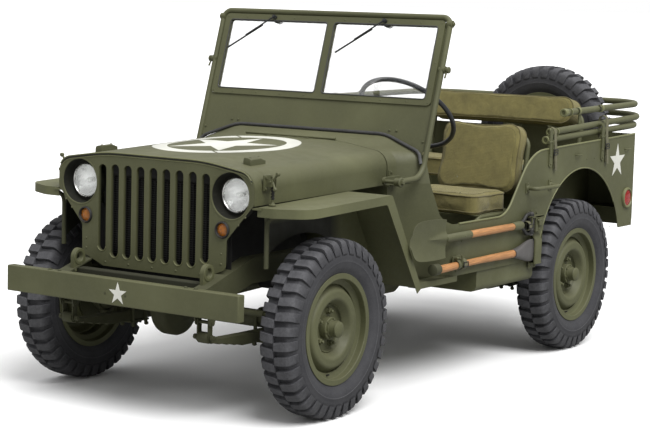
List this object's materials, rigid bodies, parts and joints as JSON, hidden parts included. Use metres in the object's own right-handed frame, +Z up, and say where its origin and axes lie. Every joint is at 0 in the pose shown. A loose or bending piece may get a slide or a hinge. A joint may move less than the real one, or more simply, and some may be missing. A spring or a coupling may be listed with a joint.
{
  "type": "army 4x4 car",
  "caption": "Open light army 4x4 car with a slotted grille, tilting hood, fold-down windshield, steered front wheels, folded top bows, tools and a rear spare wheel.",
  "frame": {"origin": "centre of the overall box on the ground", "axes": "+X forward, +Y to the driver's left, +Z up"},
  "size_m": [3.401, 1.522, 1.5766],
  "materials": {
    "paint": "matt olive drab",
    "dark_paint": "matt black",
    "tyre": "matt",
    "glass": "clear",
    "lamp_glass": "fluted lens",
    "amber_glass": "tinted lens",
    "red_glass": "tinted lens",
    "canvas": "woven canvas",
    "wood": "oiled ash",
    "black_plastic": "satin black"
  },
  "bodies": {
    "car": {"axe": "wood", "body_sides": "paint", "bow_brackets": "paint", "chassis_rails": "paint", "cowl": "paint", "cross_members": "paint", "engine": "dark_paint", "exhaust": "dark_paint", "floor": "paint", "front_axle": "paint", "front_bumper": "paint", "front_fenders": "paint", "front_seat_cushions": "canvas", "front_seat_frames": "paint", "fuel_tank": "dark_paint", "gearbox": "dark_paint", "gearbox_cross_member": "paint", "grab_handles": "paint", "grille": "paint", "headlamps": "lamp_glass", "leaf_springs": "paint", "levers_and_pedals": "paint", "lifting_eyes": "paint", "marker_lamps": "amber_glass", "propeller_shafts": "paint", "radiator": "dark_paint", "rear_axle": "paint", "rear_bumperettes_and_hook": "paint", "rear_lamps": "red_glass", "rear_panel": "paint", "rear_seat_cushions": "canvas", "rear_seat_frame": "paint", "shovel": "wood", "spare_rim": "paint", "spare_tyre": "tyre", "steering_column": "paint", "tool_brackets": "paint", "top_bows": "paint", "wheel_houses": "paint"},
    "front_left_wheel": {"front_left_rim": "paint", "front_left_tyre": "tyre"},
    "front_right_wheel": {"front_right_rim": "paint", "front_right_tyre": "tyre"},
    "rear_left_wheel": {"rear_left_rim": "paint", "rear_left_tyre": "tyre"},
    "rear_right_wheel": {"rear_right_rim": "paint", "rear_right_tyre": "tyre"},
    "left_knuckle": {"steering_knuckle_left": "paint"},
    "right_knuckle": {"steering_knuckle_right": "paint"},
    "tie_rod": {"tie_rod": "paint"},
    "steering_wheel": {"steering_wheel": "black_plastic"},
    "hood": {"hood": "paint", "windshield_rests": "wood"},
    "windshield": {"windshield_frame": "paint", "windshield_glass": "glass", "wipers": "dark_paint"}
  },
  "joints": [
    {"name": "steering", "type": "hinge", "parent": "car", "child": "left_knuckle", "pos_m": [1.1805, 0.505, 0.356], "axis": [0, 0, 1], "range_deg": [-26, 26]},
    {"name": "right_knuckle_turn", "type": "hinge", "parent": "car", "child": "right_knuckle", "pos_m": [1.1805, -0.505, 0.356], "axis": [0, 0, 1], "range_deg": [-26, 26]},
    {"name": "tie_rod_swing", "type": "hinge", "parent": "left_knuckle", "child": "tie_rod", "pos_m": [1.3455, 0.505, 0.408], "axis": [0, 0, 1], "range_deg": [-26, 26]},
    {"name": "steering_wheel_turn", "type": "hinge", "parent": "car", "child": "steering_wheel", "pos_m": [0.1515, 0.335, 1.14], "axis": [-0.6972, 0, 0.7169], "range_deg": [-364, 364]},
    {"name": "front_left_wheel_spin", "type": "hinge", "parent": "left_knuckle", "child": "front_left_wheel", "pos_m": [1.1805, 0.6225, 0.356], "axis": [0, 1, 0], "continuous": true},
    {"name": "front_right_wheel_spin", "type": "hinge", "parent": "right_knuckle", "child": "front_right_wheel", "pos_m": [1.1805, -0.6225, 0.356], "axis": [0, 1, 0], "continuous": true},
    {"name": "rear_left_wheel_spin", "type": "hinge", "parent": "car", "child": "rear_left_wheel", "pos_m": [-0.8515, 0.6225, 0.356], "axis": [0, 1, 0], "continuous": true},
    {"name": "rear_right_wheel_spin", "type": "hinge", "parent": "car", "child": "rear_right_wheel", "pos_m": [-0.8515, -0.6225, 0.356], "axis": [0, 1, 0], "continuous": true},
    {"name": "hood_hinge", "type": "hinge", "parent": "car", "child": "hood", "pos_m": [0.5625, 0, 1.041], "axis": [0, 1, 0], "range_deg": [-110, 0]},
    {"name": "windshield_fold", "type": "hinge", "parent": "car", "child": "windshield", "pos_m": [0.6385, 0, 0.889], "axis": [0, 1, 0], "range_deg": [0, 107]}
  ],
  "couplings": [
    {"joint": "right_knuckle_turn", "follows": "steering", "ratio": 1},
    {"joint": "tie_rod_swing", "follows": "steering", "ratio": -1},
    {"joint": "steering_wheel_turn", "follows": "steering", "ratio": 14}
  ]
}
